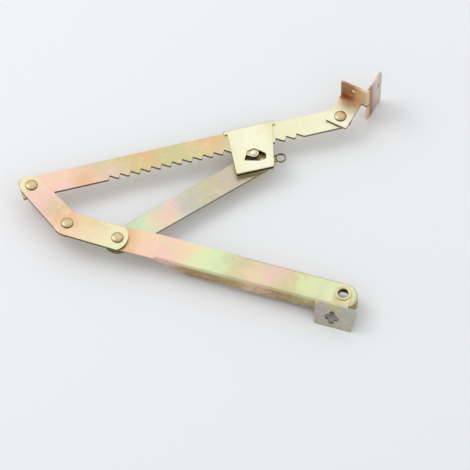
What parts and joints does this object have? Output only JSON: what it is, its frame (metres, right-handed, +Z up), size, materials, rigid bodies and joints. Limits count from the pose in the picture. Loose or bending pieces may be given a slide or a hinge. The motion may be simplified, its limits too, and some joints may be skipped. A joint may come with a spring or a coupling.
{
  "type": "adjustable sofa hinge",
  "caption": "Ratchet hinge for a sofa rest: a notched bar folds on a bent channel arm, held by a brace and a sliding pawl housing, with a swivelling bracket at each end.",
  "frame": {"origin": "middle of the footprint on the ground it lies on", "axes": "+Z up from the ground, +X from the bar's pivot towards the brackets, the linkage lies parallel to XY"},
  "size_m": [0.3108, 0.2398, 0.041],
  "materials": {
    "plated_sheet": "yellow zinc passivation, brushed satin",
    "plated_bar": "yellow zinc passivation, brushed satin",
    "housing_sheet": "yellow zinc passivation, brushed satin",
    "bracket_sheet": "yellow zinc passivation, brushed satin",
    "rivet_steel": "yellow zinc passivation, brushed satin",
    "spring_wire": "zinc plated spring wire"
  },
  "bodies": {
    "arm": {"lower_arm": "plated_sheet", "elbow_plate": "plated_sheet", "bar_pivot_rivet": "rivet_steel", "bar_pivot_washer": "rivet_steel", "elbow_rivet": "rivet_steel", "brace_pivot_rivet": "rivet_steel", "brace_spacer": "rivet_steel", "brace_washer": "rivet_steel", "arm_eyelet": "rivet_steel"},
    "bar": {"ratchet_bar": "plated_bar", "bar_bracket_rivet": "rivet_steel"},
    "brace": {"brace_link": "plated_sheet", "housing_pivot_rivet": "rivet_steel", "housing_washer": "rivet_steel"},
    "housing": {"ratchet_housing": "housing_sheet", "pawl_pin": "rivet_steel", "pawl_spring": "spring_wire"},
    "pawl": {"pawl": "plated_bar"},
    "bar_bracket": {"bar_bracket": "bracket_sheet"},
    "arm_bracket": {"arm_bracket": "bracket_sheet"}
  },
  "joints": [
    {"name": "bar_fold", "type": "hinge", "parent": "arm", "child": "bar", "pos_m": [-0.14395, 0.01535, 0.0178], "axis": [0, 0, 1], "range_deg": [-24, 72]},
    {"name": "housing_slide", "type": "slide", "parent": "bar", "child": "housing", "axis": [0.9657, 0.2597, 0], "range_m": [-0.1102, 0.0368]},
    {"name": "brace_swing", "type": "hinge", "parent": "arm", "child": "brace", "pos_m": [-0.07045, -0.03785, 0.0137], "axis": [0, 0, 1], "range_deg": [-27.7, 82.9]},
    {"name": "pawl_swing", "type": "hinge", "parent": "housing", "child": "pawl", "pos_m": [0.04549, 0.05023, 0.0178], "axis": [0, 0, 1], "range_deg": [-30, 0]},
    {"name": "bar_bracket_swivel", "type": "hinge", "parent": "bar", "child": "bar_bracket", "pos_m": [0.11959, 0.08621, 0.02], "axis": [0, 0, 1], "range_deg": [-75, 70]},
    {"name": "arm_bracket_swivel", "type": "hinge", "parent": "arm", "child": "arm_bracket", "pos_m": [0.12121, -0.09404, 0.02], "axis": [0, 0, 1], "range_deg": [0, 180]}
  ],
  "couplings": [
    {"joint": "housing_slide", "follows": "bar_fold", "m_per_rad": -0.087567},
    {"joint": "brace_swing", "follows": "bar_fold", "ratio": 1.15}
  ]
}
